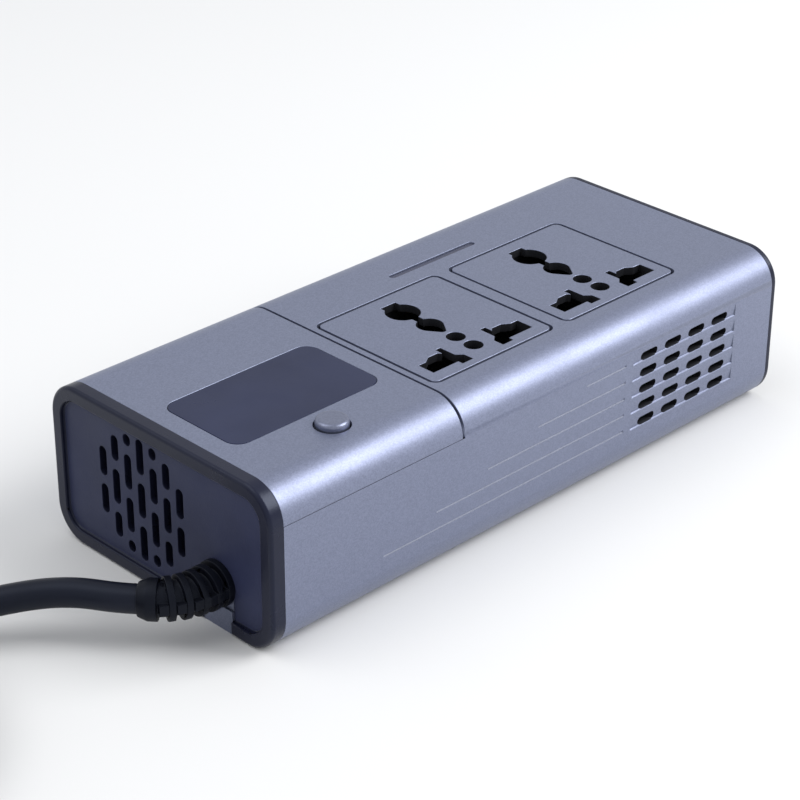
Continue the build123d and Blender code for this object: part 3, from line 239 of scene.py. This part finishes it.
# finishes of single regions and pieces, beside those of the slots
cap_panel = moulded("charcoal panel grain", (0.026, 0.030, 0.066), 0.46, 2200.0, 0.00004, 0.25)
sleeve_rubber = moulded(
    "black sleeve rubber", (0.0028, 0.0033, 0.0065), 0.45, 1900.0, 0.00002, 0.18
)
# painted highlight: brighter flake paint for the lower facet of each fine line in the shell's sides
painted_highlight_line = flake_paint("painted highlight line", (0.42, 0.45, 0.56), (0.50, 0.53, 0.64), 0.4)


# ---------------------------------------------------------------- pieces worked up from the model
slots = {part["node"]: part["material_slot"] for part in frame["record"]["subparts"]}
bodies = {
    node: body for body, members in frame["record"]["behaviour"]["bodies"].items() for node in members
}


def place_mesh(bm, name, node, *replaced):
    """Object made of a bmesh; it takes the finish and the body of a node of the model."""
    mesh = bpy.data.meshes.new(name)
    bm.to_mesh(mesh)
    bm.free()
    piece = bpy.data.objects.new(name, mesh)
    bpy.context.scene.collection.objects.link(piece)
    mesh.materials.append(finishes[slots[node]])
    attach(piece, bodies[node])
    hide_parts(*replaced)
    return piece


def on_side_wall(edge):
    """True for the fine lines and vent slots in the shell's long sides."""
    middle = (edge.verts[0].co + edge.verts[1].co) / 2
    return abs(middle.y) > side_wall and middle.z < vents_top


weld_gap = 0.004 * mm
bevel_weld_gap = 0.002 * mm
flat_angle = math.radians(0.6)
sharp_edge_angle = math.radians(32)
shading_crease = math.radians(50)
edge_segments = 2


def eased(node, radius):
    """Copy of a node with its sharp edges rounded off, as moulding or tumbling leaves them."""
    bm = bmesh.new()
    bm.from_mesh(nodes[node].data)
    bmesh.ops.remove_doubles(bm, verts=bm.verts, dist=weld_gap)
    bmesh.ops.dissolve_limit(
        bm, angle_limit=flat_angle, verts=bm.verts, edges=bm.edges, delimit={"NORMAL"}
    )
    sharp = [e for e in bm.edges if e.is_manifold and e.calc_face_angle() > sharp_edge_angle]
    if node == "upper_shell":
        sharp = [e for e in sharp if not on_side_wall(e)]
    bmesh.ops.bevel(
        bm,
        geom=sharp,
        offset=radius * mm,
        offset_type="OFFSET",
        segments=edge_segments,
        affect="EDGES",
        profile=0.5,
        material=-1,
        clamp_overlap=False,
    )
    bmesh.ops.remove_doubles(bm, verts=bm.verts, dist=bevel_weld_gap)
    for face in bm.faces:
        face.smooth = True
    piece = place_mesh(bm, node + "_eased", node, node)
    piece.data.set_sharp_from_angle(angle=shading_crease)
    shading = piece.modifiers.new("even shading", "WEIGHTED_NORMAL")
    shading.keep_sharp = True
    return piece


shell_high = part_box("upper_shell")[1]
side_wall = shell_high.y - 2.3 * mm
vents_top = shell_high.z - 6.0 * mm
lines_end = shell_high.x - 49.0 * mm

edge_radii = {
    "upper_shell": 0.12,
    "front_cover": 0.15,
    "socket_plate_1": 0.15,
    "socket_plate_2": 0.15,
    "front_cap": 0.12,
    "rear_cap": 0.12,
    "display_window": 0.15,
    "light_pipe": 0.1,
    "power_button": 0.1,
    "socket_housing_1": 0.15,
    "socket_housing_2": 0.15,
    "fan_frame": 0.15,
    "fan_rotor": 0.1,
    "plug_body": 0.35,
    "plug_nose_nut": 0.15,
    "plug_tip_pin": 0.25,
    "plug_contact_left": 0.15,
    "plug_contact_right": 0.15,
    "plug_strain_relief": 0.25,
    "cord_strain_relief": 0.15,
    "cord_tie": 0.2,
}
worked = {node: eased(node, radius) for node, radius in edge_radii.items()}

# the recessed panel of each end cap has a coarser grain than its rim
cap_rim = 3.3 * mm
panel_sink = 0.4 * mm
for node, outward in (("front_cap", -1), ("rear_cap", 1)):
    cap = worked[node]
    cap.data.materials.append(cap_panel)
    low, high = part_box(node)
    face_x = low.x if outward < 0 else high.x
    for polygon in cap.data.polygons:
        within_sides = abs(polygon.center.y) < high.y - cap_rim
        within_rim = within_sides and cap_rim < polygon.center.z < high.z - cap_rim
        sunk = abs(polygon.center.x - face_x) > panel_sink
        if within_rim and sunk and polygon.normal.x * outward > 0.9:
            polygon.material_index = 1

# the walls of the vent slots take the black housing plastic as painted shade inside the slots, and the
# lower facet of each fine line is brighter as a painted highlight
slot_wall_depths = (0.6 * mm, 1.9 * mm)
line_least_depth = 0.02 * mm
shell = worked["upper_shell"]
# painted shade: the walls inside the vent slots take the dark housing plastic
shell.data.materials.append(finishes["housing_plastic"])
# brighter paint on the fine lines' lower facets is a painted highlight
shell.data.materials.append(painted_highlight_line)
for polygon in shell.data.polygons:
    depth = shell_high.y - abs(polygon.center.y)
    if polygon.center.z > vents_top:
        continue
    in_slot = slot_wall_depths[0] < depth < slot_wall_depths[1] and abs(polygon.normal.y) < 0.3
    on_lip = depth > line_least_depth and 0.5 < polygon.normal.z < 0.95
    if in_slot:
        polygon.material_index = 1
    elif on_lip and polygon.center.x < lines_end:
        polygon.material_index = 2

worked["cord_strain_relief"].data.materials[0] = sleeve_rubber

# the silver paint is on the face of each socket plate only; the walls of its holes stay black
plate_edge = 0.6 * mm
painted_depth = 0.25 * mm
for number in ("1", "2"):
    plate = worked["socket_plate_" + number]
    plate.data.materials.append(finishes["housing_plastic"])
    low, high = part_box("socket_plate_" + number)
    centre = (low + high) / 2
    for polygon in plate.data.polygons:
        offset = polygon.center - centre
        within_edge = max(abs(offset.x), abs(offset.y)) < (high.x - low.x) / 2 - plate_edge
        if polygon.center.z < high.z - painted_depth and within_edge:
            polygon.material_index = 1

for node, piece in nodes.items():
    if node not in edge_radii:
        piece.material_slots[0].material = finishes[slots[node]]


# ---------------------------------------------------------------- cord
cord_radius = 3.0 * mm
tip = Vector((-90.153, -12.202, 10.3)) * mm
lead_offsets = [
    (0.0, 0.0, 10.3),
    (-3.78, 4.2, 10.3),
    (-8.6, 11.3, 10.7),
    (-14.7, 17.3, 10.2),
    (-24.6, 24.2, 8.5),
    (-34.5, 33.0, 5.9),
    (-45.2, 41.2, 4.1),
    (-54.2, 47.8, 4.0),
]
lead = [Vector((tip.x + dx * mm, tip.y + dy * mm, z * mm)) for dx, dy, z in lead_offsets]
turn_radius = 35.0 * mm
turn_pitch = 6.2 * mm
first_angle = 54.0
turned_angle = 786.0
turn_steps = 52
climb_start = 85
climb_span = 65


def around(angle):
    return Vector((math.cos(math.radians(angle)), math.sin(math.radians(angle)), 0))


turn_centre = lead[-1] - turn_radius * around(first_angle)


def climb(travelled):
    """Height gained: each turn lies flat and rises by one cord where it comes round to its start."""
    gained = 0.0
    for turn in (1, 2):
        share = min(max((travelled - (360 * turn - climb_start)) / climb_span, 0), 1)
        gained += turn_pitch * share * share * (3 - 2 * share)
    return gained


turns = []
half_step = math.radians(turned_angle) / turn_steps / 2
for step in range(1, turn_steps):
    travelled = turned_angle * step / turn_steps
    spoke = around(first_angle + travelled) * turn_radius / math.cos(half_step)
    turns.append(turn_centre + spoke + Vector((0, 0, climb(travelled))))

last_spoke = around(first_angle + turned_angle)
heading = Vector((-last_spoke.y, last_spoke.x, 0))
tail_offsets = [(0.0, 16.5), (15.0, 16.3), (31.0, 10.5), (46.0, 10.5)]
leaving = turn_centre + last_spoke * turn_radius
tail = [
    Vector((leaving.x + heading.x * along * mm, leaving.y + heading.y * along * mm, z * mm))
    for along, z in tail_offsets
]

route = lead + turns + tail
curve = bpy.data.curves.new("lead_cord", "CURVE")
curve.dimensions = "3D"
spline = curve.splines.new("NURBS")
spline.points.add(len(route) - 1)
for point, place in zip(spline.points, route):
    point.co = (*place, 1)
spline.order_u = 3
spline.use_endpoint_u = True
spline.resolution_u = 10
spline.use_smooth = True
curve.bevel_depth = cord_radius
curve.bevel_resolution = 8
curve.use_fill_caps = True
curve.materials.append(finishes["cord_rubber"])
lead_cord = bpy.data.objects.new("lead_cord", curve)
bpy.context.scene.collection.objects.link(lead_cord)
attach(lead_cord, "case")
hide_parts("cord", "cord_coil", "cord_tail")


# ---------------------------------------------------------------- floor, light and camera
floor_mesh = bpy.data.meshes.new("floor")
bm = bmesh.new()
bmesh.ops.create_grid(bm, x_segments=1, y_segments=1, size=3.0)
bm.to_mesh(floor_mesh)
bm.free()
floor = bpy.data.objects.new("floor", floor_mesh)
bpy.context.scene.collection.objects.link(floor)
floor_mesh.materials.append(finish("pale floor", (0.72, 0.72, 0.72), 0.9, Specular_IOR_Level=0.1))

world = bpy.data.worlds.new("studio")
world.use_nodes = True
world.node_tree.nodes["Background"].inputs["Color"].default_value = (0.95, 0.97, 1.0, 1)
world.node_tree.nodes["Background"].inputs["Strength"].default_value = 0.78
bpy.context.scene.world = world


def softbox(name, direction, distance, size, power):
    """Square soft light that shines on the object from a direction."""
    lamp = bpy.data.lights.new(name, "AREA")
    lamp.size = size
    lamp.energy = power
    holder = bpy.data.objects.new(name, lamp)
    toward = Vector(direction).normalized()
    aim = toward.to_track_quat("Z", "Y").to_matrix().to_4x4()
    holder.matrix_world = Matrix.Translation(toward * distance) @ aim
    bpy.context.scene.collection.objects.link(holder)


softbox("key softbox", (0.47, -0.50, 0.60), 0.9, 0.55, 7.0)
softbox("fill softbox", (-0.45, 0.30, 0.85), 1.1, 0.8, 3.0)

azimuth = math.radians(-44.663)
elevation = math.radians(28.620)
roll = math.radians(0.234)
back = Vector(
    (math.sin(azimuth) * math.cos(elevation), -math.cos(azimuth) * math.cos(elevation), math.sin(elevation))
)
level = (-back).cross(Vector((0, 0, 1))).normalized()
steep = level.cross(-back)
right = math.cos(roll) * level + math.sin(roll) * steep
up = -math.sin(roll) * level + math.cos(roll) * steep
camera_data = bpy.data.cameras.new("camera")
camera_data.lens = 109.4
camera_data.sensor_width = 36.0
camera_data.clip_start = 0.01
camera = bpy.data.objects.new("camera", camera_data)
turn = Matrix((right, up, back)).transposed().to_4x4()
camera.matrix_world = Matrix.Translation(Vector((-333.57, -327.69, 270.41)) * mm) @ turn
bpy.context.scene.collection.objects.link(camera)
bpy.context.scene.camera = camera
bpy.context.scene.view_settings.view_transform = "Standard"
